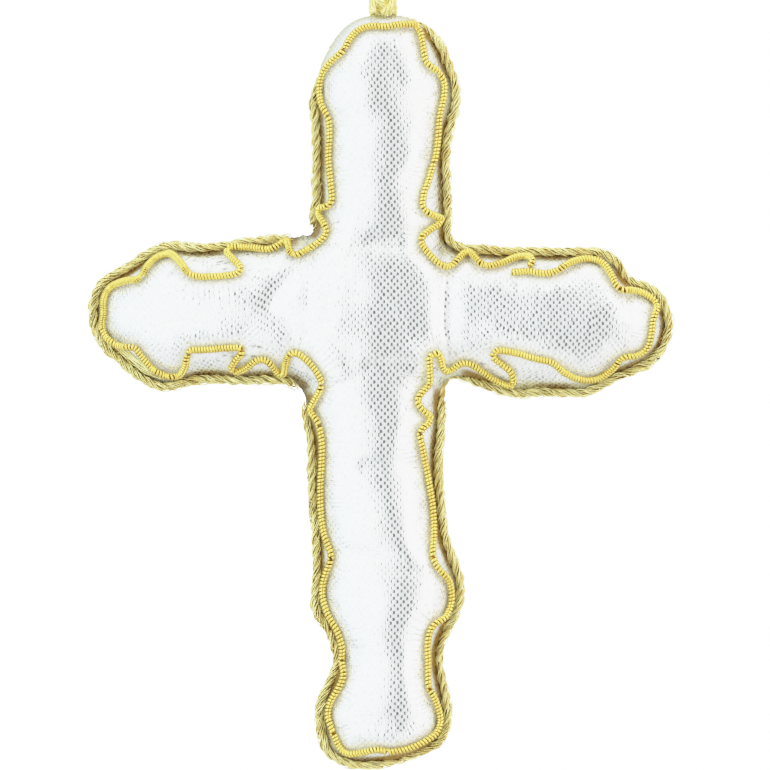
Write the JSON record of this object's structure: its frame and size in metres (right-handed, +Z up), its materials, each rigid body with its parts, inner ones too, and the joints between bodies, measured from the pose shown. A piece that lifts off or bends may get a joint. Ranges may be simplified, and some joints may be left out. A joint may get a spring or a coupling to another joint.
{
  "type": "hanging cross ornament",
  "caption": "Small stuffed cross of silver tissue cloth, outlined in gold coiled wire, with a twisted gold edge cord and a plaited gold hanging loop.",
  "frame": {"origin": "inside the top of the hanging loop, where a hook carries it", "axes": "+Z up along the shaft of the cross, +X across its arms to the viewer's right, the embroidered face towards -Y"},
  "size_m": [0.1088, 0.019, 0.1815],
  "materials": {
    "tissue": "plain-woven silver tissue, soft metallic sheen",
    "gold_cord": "twisted metallic gold yarn",
    "gold_purl": "bright coiled wire"
  },
  "bodies": {
    "root": {"padded_cross": "tissue", "edge_cord_long": "gold_cord", "edge_cord_left_arm": "gold_cord", "hanging_loop": "gold_cord", "purl_01": "gold_purl", "purl_02": "gold_purl", "purl_03": "gold_purl", "purl_04": "gold_purl", "purl_05": "gold_purl", "purl_06": "gold_purl", "purl_07": "gold_purl", "purl_08": "gold_purl", "purl_09": "gold_purl", "purl_10": "gold_purl", "purl_11": "gold_purl", "purl_12": "gold_purl", "purl_13": "gold_purl", "purl_14": "gold_purl", "purl_15": "gold_purl", "purl_16": "gold_purl", "purl_17": "gold_purl", "purl_18": "gold_purl", "purl_19": "gold_purl", "purl_20": "gold_purl", "purl_21": "gold_purl", "purl_22": "gold_purl", "purl_23": "gold_purl", "purl_24": "gold_purl", "purl_25": "gold_purl", "purl_26": "gold_purl", "purl_27": "gold_purl", "purl_28": "gold_purl", "purl_29": "gold_purl", "purl_30": "gold_purl", "purl_31": "gold_purl", "purl_32": "gold_purl", "purl_33": "gold_purl", "purl_34": "gold_purl", "purl_35": "gold_purl", "purl_36": "gold_purl", "purl_37": "gold_purl", "purl_38": "gold_purl", "purl_39": "gold_purl", "purl_40": "gold_purl", "purl_41": "gold_purl", "purl_42": "gold_purl", "purl_43": "gold_purl", "purl_44": "gold_purl", "purl_45": "gold_purl"}
  },
  "joints": []
}
